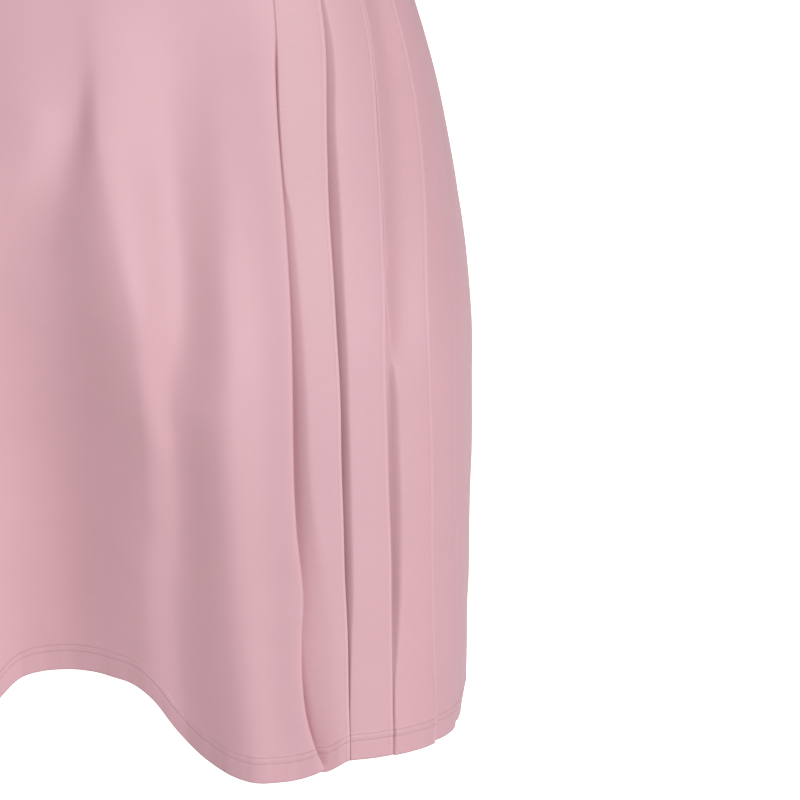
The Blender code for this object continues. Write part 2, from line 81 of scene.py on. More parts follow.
Level = namedtuple("Level", "height half_width half_depth squareness pleat_rise front_edge front_lift")
LEVELS = (
    Level(-0.3850, 0.1380, 0.0880, 2.20, 0.0042, 0.0930, 0.0000),
    Level(-0.4250, 0.1525, 0.0885, 2.40, 0.0042, 0.0970, 0.0000),
    Level(-0.4670, 0.1655, 0.0920, 2.60, 0.0044, 0.1004, 0.0000),
    Level(-0.5150, 0.1778, 0.1030, 2.80, 0.0052, 0.1020, 0.0005),
    Level(-0.5700, 0.1880, 0.1180, 3.10, 0.0060, 0.1056, 0.0010),
    Level(-0.6300, 0.1948, 0.1280, 3.50, 0.0066, 0.1087, 0.0020),
    Level(-0.7000, 0.1952, 0.1310, 3.80, 0.0070, 0.1095, 0.0030),
    Level(-0.7750, 0.1940, 0.1310, 4.10, 0.0070, 0.1130, 0.0035),
    Level(-0.8430, 0.1920, 0.1300, 4.40, 0.0070, 0.1230, 0.0035),
)
print(len(LEVELS), "levels from", WAIST, "to", HEM)

# %% Smooth curves through a table


def smoothstep(value):
    value = np.clip(value, 0.0, 1.0)
    return value * value * (3.0 - 2.0 * value)


def mix(start, end, share):
    return start + (end - start) * share


def smooth_value(places, values, place):
    """A smooth curve through the values, read at a place or at many; the places may run up or down."""
    places = np.asarray(places, float)
    values = np.asarray(values, float)
    if places[0] > places[-1]:
        places = places[::-1]
        values = values[::-1]
    before = np.maximum(np.arange(len(places)) - 1, 0)
    after = np.minimum(np.arange(len(places)) + 1, len(places) - 1)
    slopes = (values[after] - values[before]) / (places[after] - places[before])
    step = np.clip(np.searchsorted(places, place) - 1, 0, len(places) - 2)
    width = places[step + 1] - places[step]
    share = np.clip((place - places[step]) / width, 0.0, 1.0)
    square = share * share
    cube = square * share
    return ((2 * cube - 3 * square + 1) * values[step] + (cube - 2 * square + share) * width * slopes[step]
            + (3 * square - 2 * cube) * values[step + 1] + (cube - square) * width * slopes[step + 1])


def read_row(rows, height):
    """A row of a table at any height."""
    places = [row.height for row in rows]
    return rows[0]._make(float(smooth_value(places, values, height)) for values in zip(*rows))


def columns_at(rows, height):
    """The columns of a table at any height, where each holds a few numbers and the first is the height."""
    heights = [row.height for row in rows]
    table = np.array([row[1:] for row in rows])
    return [[float(smooth_value(heights, values, height)) for values in column.T]
            for column in table.transpose(1, 0, 2)]


def uneven(seed, place):
    """A gentle wander between about -1 and 1 that is different for each seed and the same in every run."""
    return (0.62 * np.sin(2.0 * math.pi * (place * 3.1 + seed * 0.377))
            + 0.38 * np.sin(2.0 * math.pi * (place * 7.3 + seed * 0.713)))


print("hips at", read_row(LEVELS, HIP))

# %% The curve that the skirt hangs round


class Plan:
    """The closed curve of the skirt at one height."""

    STEPS = 720
    REACH = 0.003

    def __init__(self, height):
        self.height = height
        self.level = read_row(LEVELS, height)
        angle = np.linspace(0.0, math.pi, self.STEPS + 1)
        power = 2.0 / self.level.squareness
        cosine = np.cos(angle)
        self.x = self.level.half_width * np.maximum(np.sin(angle), 0.0) ** power
        self.y = -np.sign(cosine) * np.abs(cosine) ** power * self.level.half_depth
        steps = np.hypot(np.diff(self.x), np.diff(self.y))
        self.lengths = np.concatenate([[0.0], np.cumsum(steps)])
        self.half_round = self.lengths[-1]

    def on_curve(self, along):
        past = along > self.half_round
        beside = np.where(past, 2.0 * self.half_round - along, along)
        side = np.sign(beside) * np.where(past, -1.0, 1.0)
        beside = np.abs(beside)
        return side * np.interp(beside, self.lengths, self.x), np.interp(beside, self.lengths, self.y)

    def place(self, along, out):
        """Points at distances round the curve, moved out from it."""
        x, y = self.on_curve(along)
        x0, y0 = self.on_curve(along - self.REACH)
        x1, y1 = self.on_curve(along + self.REACH)
        length = np.hypot(x1 - x0, y1 - y0)
        return x + out * (y1 - y0) / length, y - out * (x1 - x0) / length


print("half round at the hem", round(float(Plan(HEM).half_round), 4))

# %% [markdown]
# ## Pleats
# A knife pleat is a flat fold: the cloth runs forward to a sharp edge, turns back under itself, turns
# forward again and goes on to the next edge. All of them face away from the front panel. Near the waist
# they are stitched down and lie flat; further down each edge stands a few millimetres proud.

# %% Where the fold edges lie
PLEATS_A_SIDE = 12
CLOTH_PER_PLEAT = 0.0440
TURN_RADIUS = 0.0009
SEAM_TAB = 0.0030
SEAM_GAP = 0.0004

FoldEdge = namedtuple("FoldEdge", "waist stitched hip middle hem")
FOLD_HEIGHTS = FoldEdge(WAIST, STITCHED_TO, HIP, MIDDLE, HEM)
FIRST_FOLDS = (
    FoldEdge(0.1105, 0.1252, 0.1262, 0.1316, 0.1362),
    FoldEdge(0.1275, 0.1495, 0.1545, 0.1561, 0.1592),
    FoldEdge(0.1445, 0.1735, 0.1840, 0.1828, 0.1860),
    FoldEdge(0.1610, 0.1955, 0.2105, 0.2030, 0.2120),
    FoldEdge(0.1775, 0.2160, 0.2335, 0.2265, 0.2350),
    FoldEdge(0.1940, 0.2350, 0.2550, 0.2500, 0.2580),
)
PITCH = FoldEdge(0.0165, 0.0200, 0.0215, 0.0235, 0.0240)


def fold_edges(height):
    """Distances round to every fold edge of one side, the front panel's own edge first."""
    edges = [read_row(LEVELS, height).front_edge]
    for fold in FIRST_FOLDS:
        edges.append(float(smooth_value(FOLD_HEIGHTS, fold, height)))
    pitch = float(smooth_value(FOLD_HEIGHTS, PITCH, height))
    while len(edges) <= PLEATS_A_SIDE:
        edges.append(edges[-1] + pitch)
    return edges


def underlap(height):
    """How far each pleat turns back under its fold edge."""
    return (CLOTH_PER_PLEAT - float(smooth_value(FOLD_HEIGHTS, PITCH, height))) / 2.0


def pleat_rise(height):
    """How far one layer of the pleats lies over the next; less where the pleats are stitched flat."""
    pressed = 0.55 + 0.45 * smoothstep((-0.445 - height) / 0.045)
    return read_row(LEVELS, height).pleat_rise * pressed


print("fold edges at the hem", [round(edge, 4) for edge in fold_edges(HEM)])

# %% One pleat after another across the cloth
FOLD_TURN = np.radians(np.linspace(90.0, -90.0, 7))
INNER_TURN = np.radians(np.linspace(90.0, 270.0, 5))
RAMP_STARTS = 0.0012
RAMP_BEND = 0.16
RAMP_STEPS = np.array([-0.35, -0.12, 0.0, 0.12, 0.3, 0.5, 0.7, 0.84, 0.92, 1.0, 1.08, 1.16])
EDGE_WANDER = 0.0004
RISE_WANDER = 0.14
PRESSED_LINE = 0.0022
PRESSED_WIDTH = 0.0004
PRESSED_DEPTH = 0.00016

# For the first three faces and for those beyond: how far the ramp shows beyond the fold before it, the share
# of its height that is climbed by then, and how much its slope eases off (or, below 0, grows) on the way up
Ramp = namedtuple("Ramp", "height first second third outer")
RAMPS = (
    Ramp(-0.385, (.0010, .40, 0.4), (.0060, .40, 0.0), (.0010, .40, 0.0), (.0100, .40, 0.5)),
    Ramp(-0.455, (.0005, .45, 0.4), (.0020, .42, 0.0), (.0005, .46, 0.0), (.0140, .45, 0.5)),
    Ramp(-0.485, (.0005, .45, 0.4), (.0044, .38, 0.0), (.0006, .58, 0.0), (.0160, .60, 0.5)),
    Ramp(-0.520, (.0006, .50, 0.4), (.0048, .34, 0.0), (.0006, .62, 0.0), (.0160, .62, 0.5)),
    Ramp(-0.545, (.0012, .60, 0.4), (.0052, .32, 0.0), (.0006, .64, 0.0), (.0160, .66, 0.5)),
    Ramp(-0.560, (.0036, .66, 0.4), (.0053, .31, 0.0), (.0006, .66, 0.0), (.0160, .68, 0.5)),
    Ramp(-0.600, (.0050, .60, 0.4), (.0048, .32, 0.0), (.0006, .62, 0.0), (.0160, .68, 0.5)),
    Ramp(-0.650, (.0065, .45, 0.4), (.0046, .32, 0.0), (.0075, .14, 0.0), (.0160, .68, 0.5)),
    Ramp(-0.700, (.0085, .40, 0.4), (.0042, .32, 0.0), (.0080, .04, 0.0), (.0160, .68, 0.5)),
    Ramp(-0.750, (.0140, .60, 0.4), (.0036, .36, 0.0), (.0072, .02, 0.0), (.0160, .68, 0.5)),
    Ramp(-0.776, (.0160, .64, 0.4), (.0024, .42, 0.0), (.0050, .20, 0.0), (.0160, .68, 0.5)),
    Ramp(-0.815, (.0180, .66, 0.4), (.0008, .50, 0.0), (.0012, .45, 0.0), (.0160, .68, 0.5)),
    Ramp(-0.843, (.0180, .66, 0.4), (.0006, .50, 0.0), (.0009, .45, 0.0), (.0160, .68, 0.5)),
)
# Between the second and the third fold the cloth hollows inwards: how deep, and how far across it is deepest
Hollow = namedtuple("Hollow", "height depth deepest")
HOLLOWS = (
    Hollow(-0.385, 0.0000, 0.50), Hollow(-0.455, 0.0030, 0.48), Hollow(-0.485, 0.0040, 0.48),
    Hollow(-0.520, 0.0046, 0.46), Hollow(-0.560, 0.0050, 0.42), Hollow(-0.600, 0.0050, 0.40),
    Hollow(-0.620, 0.0050, 0.38), Hollow(-0.640, 0.0038, 0.17), Hollow(-0.650, 0.0032, 0.12),
    Hollow(-0.700, 0.0026, 0.10), Hollow(-0.750, 0.0022, 0.10), Hollow(-0.776, 0.0016, 0.10),
    Hollow(-0.815, 0.0006, 0.10), Hollow(-0.843, 0.0000, 0.10),
)
FACE_KINDS = 4


def turn(along, out, angles):
    """A small round turn of the cloth about a centre."""
    return along + TURN_RADIUS * np.cos(angles), out + TURN_RADIUS * np.sin(angles)


def bent(share):
    """A straight ramp from 0 to 1 with a small bend at each end."""
    below = np.clip(share + RAMP_BEND, 0.0, 2.0 * RAMP_BEND) ** 2 / (4.0 * RAMP_BEND)
    above = np.clip(1.0 + RAMP_BEND - share, 0.0, 2.0 * RAMP_BEND) ** 2 / (4.0 * RAMP_BEND)
    return np.where(share < RAMP_BEND, below, np.where(share > 1.0 - RAMP_BEND, 1.0 - above, share))


def face_between(start, end, fold_before, ramp):
    """The face of a pleat: low under the fold before it, up a ramp that shows, and flat to its own fold, with
    a fine pressed line just inside the fold."""
    shown, lifted, ease = ramp
    ramp_from = fold_before - RAMP_STARTS
    pressed = end[0] + TURN_RADIUS - PRESSED_LINE
    length = min(RAMP_STARTS + shown, (pressed - 3.0 * PRESSED_WIDTH - ramp_from) / RAMP_STEPS[-1])
    ramp_to = ramp_from + RAMP_STEPS[-1] * length
    under = np.linspace(start[0], ramp_from + RAMP_STEPS[0] * length, 5)[1:-1]
    over = np.linspace(ramp_to, pressed - 2.0 * PRESSED_WIDTH, 7)[1:]
    line = pressed + PRESSED_WIDTH * np.array([-1.0, 0.0, 1.0])
    along = np.concatenate([under, ramp_from + RAMP_STEPS * length, over, line])
    climbed = bent((along - ramp_from) / length)
    climbed = mix(climbed, climbed * (2.0 - climbed), ease)
    risen = lifted * smoothstep((along - start[0]) / (ramp_from - start[0]))
    out = mix(start[1], end[1], risen + (1.0 - lifted) * climbed)
    return along, out - PRESSED_DEPTH * np.exp(-((along - pressed) / PRESSED_WIDTH * 1.5) ** 2)


def hollow_at(along, start, end, hollow):
    """How far all layers hollow inwards between two folds, with straight sides and a round bottom."""
    share = np.clip((along - start) / (end - start), 0.0, 1.0)
    side = np.minimum(share / hollow.deepest, (1.0 - share) / (1.0 - hollow.deepest))
    return hollow.depth * side * (4.0 - side ** 3) / 3.0


def pleat_section(plan, share):
    """The line of one side's pleats at a height, from the seam under the front panel's edge."""
    height = plan.height
    lap = underlap(height)
    edges = fold_edges(height)
    ramps = columns_at(RAMPS, height)
    settled = smoothstep((share - 0.12) / 0.25)
    parts = []
    for number, edge in enumerate(edges):
        rise = pleat_rise(height) * (1.0 + RISE_WANDER * settled * uneven(number, share))
        if number:
            edge += EDGE_WANDER * settled * uneven(number + 0.5, share)
            fold = turn(edge - TURN_RADIUS, rise / 2, FOLD_TURN)
            ramp = ramps[min(number, FACE_KINDS) - 1]
            parts.append(face_between(last_point, (fold[0][0], fold[1][0]), edges[number - 1], ramp))
            parts.append(fold)
        inner = turn(edge - lap + TURN_RADIUS, -rise / 2, INNER_TURN)
        if number == 0:
            parts.append((inner[0][:1] + SEAM_TAB, inner[1][:1]))
        else:
            parts.append(([mix(fold[0][-1], inner[0][0], 0.5)], [mix(fold[1][-1], inner[1][0], 0.5)]))
        parts.append(inner)
        last_point = (inner[0][-1], inner[1][-1])
    parts.append(([last_point[0] + SEAM_TAB], [last_point[1] + SEAM_TAB * 0.25]))
    along = np.concatenate([part[0] for part in parts])
    out = np.concatenate([part[1] for part in parts])
    return along, out - hollow_at(along, edges[2] + EDGE_WANDER, edges[3], read_row(HOLLOWS, height))


along, out = pleat_section(Plan(HEM), 1.0)
print(len(along), "points across a side's pleats")

# %% [markdown]
# ## Hems
# Each hem is the cloth turned up once inside and held by two rows of stitches, 14 and 11 mm above the
# edge. The doubled band stands a little proud, turns in and puckers slightly. Each row of stitches pulls a
# fine groove into it, with a low ridge between the two. The front hem is an arch, and not quite an even one.

# %% Hem heights and the hem band
HemPoint = namedtuple("HemPoint", "along height")
HEM_LINE = (
    HemPoint(-0.123, -0.8455),
    HemPoint(-0.112, -0.8500),
    HemPoint(-0.100, -0.8520),
    HemPoint(-0.084, -0.8510),
    HemPoint(-0.072, -0.8460),
    HemPoint(-0.060, -0.8370),
    HemPoint(-0.048, -0.8240),
    HemPoint(-0.036, -0.8120),
    HemPoint(-0.022, -0.8070),
    HemPoint(0.000, -0.8045),
    HemPoint(0.014, -0.8055),
    HemPoint(0.026, -0.8080),
    HemPoint(0.036, -0.8152),
    HemPoint(0.048, -0.8308),
    HemPoint(0.058, -0.8405),
    HemPoint(0.070, -0.8475),
    HemPoint(0.084, -0.8515),
    HemPoint(0.100, -0.8519),
    HemPoint(0.112, -0.8501),
    HemPoint(0.123, -0.8455),
)
FIRST_PLEAT_DIP = 0.0060
FRONT_EDGE_AT_HEM = LEVELS[-1].front_edge
FIRST_FOLD_AT_HEM = FIRST_FOLDS[0].hem

HEM_ROWS = (0.0143, 0.0108)
HEM_BAND = 0.0150
HEM_PROUD = 0.0003
HEM_TUCK = 0.0017
GROOVE_DEPTH = 0.00020
GROOVE_WIDTH = 0.0006
RIDGE_RISE = 0.00022
RIDGE_WIDTH = 0.0012
PUCKER_RISE = 0.00020
PUCKERS = 22.0


def front_hem(along):
    """Height of the front panel's hem: an arch, high near centre front and low at each side."""
    alongs, heights = zip(*HEM_LINE)
    return smooth_value(alongs, heights, along)


def pleat_hem(along):
    """Height of the pleats' hem, level but for the first pleat, which dips to meet the front panel."""
    share = (along - FRONT_EDGE_AT_HEM) / (FIRST_FOLD_AT_HEM - FRONT_EDGE_AT_HEM)
    return HEM - FIRST_PLEAT_DIP * (1.0 - smoothstep(share))


def level_hem(along):
    return np.full(len(along), HEM)


def hem_relief(above, along):
    """How far the hem stands out: a doubled band that turns in, two grooves with a ridge between them, and
    puckers."""
    banded = smoothstep((HEM_BAND + 0.0006 - above) / 0.0012)
    relief = banded * (HEM_PROUD + PUCKER_RISE * uneven(0.4, along * PUCKERS))
    relief = relief - HEM_TUCK * np.clip(1.0 - above / HEM_BAND, 0.0, 1.0)
    for row in HEM_ROWS:
        relief = relief - GROOVE_DEPTH * np.exp(-((above - row) / GROOVE_WIDTH) ** 2)
    return relief + RIDGE_RISE * np.exp(-((above - np.mean(HEM_ROWS)) / RIDGE_WIDTH) ** 2)


print(len(HEM_LINE), "points along the front hem")

# %% Rows of points from the waist to the hem
COARSE_STEP = 0.0042
GROOVE_STEPS = GROOVE_WIDTH * np.array([1.6, 0.9, 0.4, 0.0, -0.4, -0.9, -1.6])
ABOVE_HEM = np.concatenate([[0.0180, 0.0162, 0.0156], HEM_ROWS[0] + GROOVE_STEPS, HEM_ROWS[1] + GROOVE_STEPS,
                            [0.0080, 0.0055, 0.0030, 0.0010, 0.0]])
FINE_FROM = 1.0 - ABOVE_HEM[0] / (WAIST - HEM)
COARSE_ROWS = round(FINE_FROM * (WAIST - HEM) / COARSE_STEP)
COARSE_SHARES = np.linspace(0.0, FINE_FROM, COARSE_ROWS + 1)[:-1]
ROW_SHARES = np.concatenate([COARSE_SHARES, 1.0 - ABOVE_HEM / (WAIST - HEM)])


def skirt_grid(section_at, hem_at):
    """Rows of points of a skirt piece, even down to just above its hem and then fine for its stitching."""
    rows = []
    for number, share in enumerate(ROW_SHARES):
        plan = Plan(mix(WAIST, HEM, share))
        along, out = section_at(plan, share)
        hem = hem_at(along)
        height = mix(WAIST, hem + ABOVE_HEM[0], share / FINE_FROM)
        if number >= COARSE_ROWS:
            height = hem + ABOVE_HEM[number - COARSE_ROWS]
        x, y = plan.place(along, out + hem_relief(height - hem, along))
        rows.append(np.stack([x, y, height], axis=1))
    return np.array(rows)


print(len(ROW_SHARES), "rows down the skirt,", len(ABOVE_HEM), "of them at the hem")

# %% [markdown]
# ## From a grid of points to cloth
# A sheet of cloth is a grid of points that is given a thickness. Solidify makes the second side and closes
# the rim, so the piece is one thin closed shell. The distances over the cloth, not over the world, go into
# its UV map in metres, so that a weave runs round every fold as the real one does.

# %% Make a sheet of cloth


def cloth_lengths(grid):
    """Distances over the cloth: across, taken halfway down, and down, taken at each column."""
    middle = grid[len(grid) // 2]
    across = np.concatenate([[0.0], np.cumsum(np.linalg.norm(np.diff(middle, axis=0), axis=1))])
    steps = np.linalg.norm(np.diff(grid, axis=0), axis=2)
    down = np.vstack([np.zeros(grid.shape[1]), np.cumsum(steps, axis=0)])
    return np.broadcast_to(across, down.shape), down


def grid_faces(rows, columns):
    corner = np.arange(rows * columns).reshape(rows, columns)
    corners = [corner[:-1, :-1], corner[1:, :-1], corner[1:, 1:], corner[:-1, 1:]]
    return np.stack(corners, axis=2).reshape(-1, 4)


def new_piece(name, points, faces, uvs=None):
    """A mesh object at the origin, smooth shaded, with one UV for each point."""
    mesh = bpy.data.meshes.new(name)
    mesh.from_pydata([tuple(point) for point in points], [], [tuple(face) for face in faces])
    mesh.update()
    if uvs is not None:
        layer = mesh.uv_layers.new(name="cloth")
        corners = np.zeros(len(mesh.loops), int)
        mesh.loops.foreach_get("vertex_index", corners)
        layer.data.foreach_set("uv", np.asarray(uvs)[corners].ravel())
    mesh.shade_smooth()
    piece = bpy.data.objects.new(name, mesh)
    bpy.context.scene.collection.objects.link(piece)
    return piece


def thicken(piece, thickness):
    """Gives a sheet its second side and its rim."""
    modifier = piece.modifiers.new("cloth", "SOLIDIFY")
    modifier.thickness = thickness
    modifier.offset = 0.0
    bpy.ops.object.select_all(action="DESELECT")
    piece.select_set(True)
    bpy.context.view_layer.objects.active = piece
    bpy.ops.object.modifier_apply(modifier=modifier.name)
    piece.select_set(False)
    return piece


def sheet_from_grid(name, grid, thickness, fold_highlight=None):
    """A sheet of cloth from a grid, with an optional measure of painted highlight for each column."""
    across, down = cloth_lengths(grid)
    uvs = np.stack([across.ravel(), down.ravel()], axis=1)
    piece = new_piece(name, grid.reshape(-1, 3), grid_faces(*grid.shape[:2]), uvs)
    if fold_highlight is not None:
        # The painted highlight on the fold edges is kept on the points of the sheet
        highlight_layer = piece.data.attributes.new("fold_highlight", "FLOAT", "POINT")
        highlight_layer.data.foreach_set("value", np.tile(fold_highlight, len(grid)))
    thicken(piece, thickness)
    print(name, len(piece.data.polygons), "faces")
    return piece


def mirror_grid(grid):
    """The same grid for the other side, its columns reversed so that it still faces out."""
    return grid[:, ::-1] * (-1.0, 1.0, 1.0)


# %% [markdown]
# ## The pleated sides
# Each side is one strip of cloth, folded twelve times. Its grid follows the fold line of every height, so
# the layers really pass under each other and the gaps between them are open down to the hem. A painted
# highlight makes the pressed fold edges paler, and a measure of it is kept on the points of the cloth.

# %% Make both pleated sides
PLEAT_CLOTH = 0.00045

# How far the painted highlight spreads on each side of a fold edge
FOLD_HIGHLIGHT_WIDTH = 0.0008

along, out = pleat_section(Plan(HEM), 1.0)
across = np.concatenate([[0.0], np.cumsum(np.hypot(np.diff(along), np.diff(out)))])
turns_back = (np.diff(along)[:-1] > 0.0) & (np.diff(along)[1:] <= 0.0)
fold_places = across[1:-1][turns_back] - TURN_RADIUS
# Painted highlight: 1 on each fold edge, falling to 0 away from it
fold_highlight = np.exp(-((across[:, None] - fold_places) / FOLD_HIGHLIGHT_WIDTH) ** 2).max(axis=1)
left_pleat_grid = skirt_grid(pleat_section, pleat_hem)
right_pleat_grid = mirror_grid(left_pleat_grid)
left_pleats = sheet_from_grid("left_pleats", left_pleat_grid, PLEAT_CLOTH, fold_highlight)
right_pleats = sheet_from_grid("right_pleats", right_pleat_grid, PLEAT_CLOTH, fold_highlight[::-1])

# %% [markdown]
# ## The front panel
# The front panel is plain knit. It hangs in soft folds that start below the waist and deepen towards the
# hem, and its side edges are turned under onto the pleats. Seven creases run down it, each with its own line
# and its own depth at every height, because even waves would look like corrugated card.

# %% Soft folds of the front panel
KNIT = 0.00065

# Each row gives, from the viewer's left to the right, where a crease runs and how far the cloth stands out
CREASE_LINES = "side_trough side_crest left_trough centre slant_crest dip outer_crest"
Creases = namedtuple("Creases", "height " + CREASE_LINES)
FRONT_CREASES = (
    Creases(-0.385, (-.084, .0000), (-.068, .0000), (-.036, .0000), (-.009, .0000),
            (.014, .0000), (.046, .0000), (.070, .0000)),
    Creases(-0.450, (-.086, .0000), (-.068, .0020), (-.036, .0030), (-.004, .0030),
            (.015, .0032), (.046, .0015), (.074, .0012)),
    Creases(-0.500, (-.088, .0010), (-.068, .0050), (-.034, .0064), (.004, .0048),
            (.014, .0056), (.048, .0014), (.074, .0026)),
    Creases(-0.530, (-.088, .0000), (-.068, .0046), (-.020, .0070), (.003, .0042),
            (.014, .0085), (.048, .0012), (.076, .0042)),
    Creases(-0.560, (-.090, -.0024), (-.070, .0030), (-.028, .0030), (-.004, .0020),
            (.018, .0090), (.050, .0010), (.078, .0060)),
    Creases(-0.590, (-.092, -.0054), (-.072, .0010), (-.040, -.0040), (-.012, -.0030),
            (.022, .0092), (.054, .0022), (.078, .0082)),
    Creases(-0.620, (-.094, -.0080), (-.074, -.0020), (-.046, -.0090), (-.012, -.0064),
            (.028, .0090), (.054, .0026), (.080, .0104)),
    Creases(-0.650, (-.094, -.0110), (-.076, -.0060), (-.048, -.0150), (-.013, -.0140),
            (.031, .0052), (.050, .0020), (.079, .0110)),
    Creases(-0.680, (-.096, -.0130), (-.078, -.0080), (-.050, -.0210), (-.014, -.0210),
            (.034, .0010), (.051, -.0010), (.079, .0105)),
    Creases(-0.710, (-.098, -.0140), (-.080, -.0090), (-.052, -.0270), (-.014, -.0275),
            (.035, -.0050), (.052, -.0040), (.080, .0090)),
    Creases(-0.740, (-.098, -.0150), (-.082, -.0100), (-.052, -.0300), (-.014, -.0315),
            (.035, -.0080), (.052, -.0055), (.081, .0086)),
    Creases(-0.770, (-.100, -.0160), (-.084, -.0100), (-.054, -.0320), (-.014, -.0325),
            (.032, -.0100), (.050, -.0070), (.083, .0086)),
    Creases(-0.843, (-.104, -.0170), (-.086, -.0080), (-.054, -.0340), (-.014, -.0345),
            (.033, -.0140), (.054, -.0095), (.089, .0090)),
)
Drape = namedtuple("Drape", "along_top along_hem spread rise begins")
BACK_DRAPE = (
    Drape(0.006, 0.012, 0.034, -0.016, 0.15),
    Drape(0.060, 0.078, 0.026, 0.009, 0.12),
    Drape(-0.052, -0.070, 0.030, 0.008, 0.20),
    Drape(-0.095, -0.125, 0.022, -0.008, 0.25),
    Drape(0.100, 0.128, 0.020, -0.007, 0.22),
)


def crease_out(along, height, edge):
    """How far the front panel stands out at one height, on a smooth curve through its creases."""
    places, outs = zip(*columns_at(FRONT_CREASES, height))
    return smooth_value([-edge, *places, edge], [0.0, *outs, 0.0], along)


def drape_out(folds, along, share):
    """How far the soft folds move a plain panel out, at a share of the skirt's height."""
    out = np.zeros(len(along))
    for fold in folds:
        centre = mix(fold.along_top, fold.along_hem, share)
        grown = smoothstep((share - fold.begins) / (1.0 - fold.begins))
        out += fold.rise * grown * np.exp(-((along - centre) / fold.spread) ** 2)
    return out


print(len(FRONT_CREASES), "rows of creases in front,", len(BACK_DRAPE), "folds behind")

# %% The line of the front panel at one height
FRONT_COLUMNS = 75
FRONT_COLUMN_CROWDING = 0.8
FRONT_EDGE_ROLL = 0.040

EdgeWave = namedtuple("EdgeWave", "height shift")
EDGE_WAVES = (
    EdgeWave(-0.385, 0.0000), EdgeWave(-0.470, 0.0000), EdgeWave(-0.490, -0.0010), EdgeWave(-0.580, 0.0000),
    EdgeWave(-0.650, -0.0010), EdgeWave(-0.710, -0.0005), EdgeWave(-0.745, 0.0015), EdgeWave(-0.770, -0.0010),
    EdgeWave(-0.790, -0.0030), EdgeWave(-0.810, -0.0040), EdgeWave(-0.830, -0.0025), EdgeWave(-0.843, 0.0000),
)


def front_side(plan, share, side):
    """Half of the front panel's line: out from the centre, over its edge and back under to the seam."""
    level = plan.level
    lap = underlap(plan.height)
    rise = pleat_rise(plan.height)
    wave = read_row(EDGE_WAVES, plan.height if side > 0 else plan.height * 0.93 - 0.05).shift
    edge = level.front_edge + wave
    half_turn = rise / 2 + TURN_RADIUS
    along = (edge - TURN_RADIUS) * np.linspace(0.0, 1.0, FRONT_COLUMNS) ** FRONT_COLUMN_CROWDING
    inset = smoothstep((edge - along) / FRONT_EDGE_ROLL)
    out = half_turn - 2.0 * half_turn * inset + level.front_lift * (1.0 - 0.5 * inset)
    out += inset * crease_out(side * along, plan.height, edge)
    fold = turn(edge - TURN_RADIUS, rise / 2 + level.front_lift, FOLD_TURN[1:])
    seam = (level.front_edge - lap + TURN_RADIUS + SEAM_TAB + SEAM_GAP, TURN_RADIUS - rise / 2)
    under = np.linspace(0.0, 1.0, 5)[1:]
    along = np.concatenate([along, fold[0], mix(fold[0][-1], seam[0], under)])
    out = np.concatenate([out, fold[1], mix(fold[1][-1], seam[1], under)])
    return along, out


def front_section(plan, share):
    """The whole line of the front panel, from the seam on the viewer's left to the one on the right."""
    left_along, left_out = front_side(plan, share, -1)
    right_along, right_out = front_side(plan, share, 1)
    return (np.concatenate([-left_along[:0:-1], right_along]), np.concatenate([left_out[:0:-1], right_out]))


front_grid = skirt_grid(front_section, front_hem)
front_panel = sheet_from_grid("front_panel", front_grid, KNIT)

# %% [markdown]
# ## The back panel
# The back is a plain panel of the same knit between the last pleats. Nothing is known of it but its size,
# so it gets a few quiet folds of its own and the same hem.

# %% Make the back panel
BACK_COLUMNS = 131
BACK_FLAT_SEAM = 0.012
BACK_FLAT_BLEND = 0.030


def back_section(plan, share):
    """The line of the back panel; `along` runs on past centre back."""
    rise = pleat_rise(plan.height)
    lap = underlap(plan.height)
    edges = fold_edges(plan.height)
    under = -TURN_RADIUS - rise / 2
    start = edges[-1] - lap + TURN_RADIUS + SEAM_TAB + SEAM_GAP
    slope = (rise + 2.0 * TURN_RADIUS) / (edges[-1] - edges[-2] + lap)
    width = 2.0 * (plan.half_round - start)
    from_seam = np.linspace(0.0, width, BACK_COLUMNS)
    near = np.minimum(from_seam, width - from_seam)
    base = np.minimum(0.0, under + slope * (near + SEAM_TAB))
    along = start + from_seam
    away = smoothstep((near - BACK_FLAT_SEAM) / BACK_FLAT_BLEND)
    return along, base + away * drape_out(BACK_DRAPE, plan.half_round - along, share)


back_grid = skirt_grid(back_section, level_hem)
back_panel = sheet_from_grid("back_panel", back_grid, KNIT)

# %% [markdown]
# ## The bodice
# The top is plain and sleeveless: a front and a back piece that meet at the sides and on the shoulders.
# Each is made of rows that run from the centre, or from the neckline, out to the side seam or the armhole.

# %% Sizes of the bodice
UNDERARM = -0.200
Girth = namedtuple("Girth", "height half_width half_depth")
GIRTHS = (
    Girth(-0.385, 0.138, 0.088),
    Girth(-0.330, 0.141, 0.096),
    Girth(-0.260, 0.153, 0.112),
    Girth(-0.200, 0.160, 0.114),
)
BODICE_SQUARENESS = 2.3
NECK_HALF_WIDTH = 0.085
SHOULDER_TIP = 0.130
SHOULDER_DROP = 0.030
ARMHOLE_INSET = 0.121
ARMHOLE_NARROWEST = 0.55
ARMHOLE_ROUND = 0.75
FRONT_NECK_DROP = 0.110
BACK_NECK_DROP = 0.055
FRONT = -1
BACK = 1


def shoulder_height(across):
    slope = SHOULDER_DROP / (SHOULDER_TIP - NECK_HALF_WIDTH)
    return -slope * np.maximum(0.0, np.abs(across) - NECK_HALF_WIDTH)


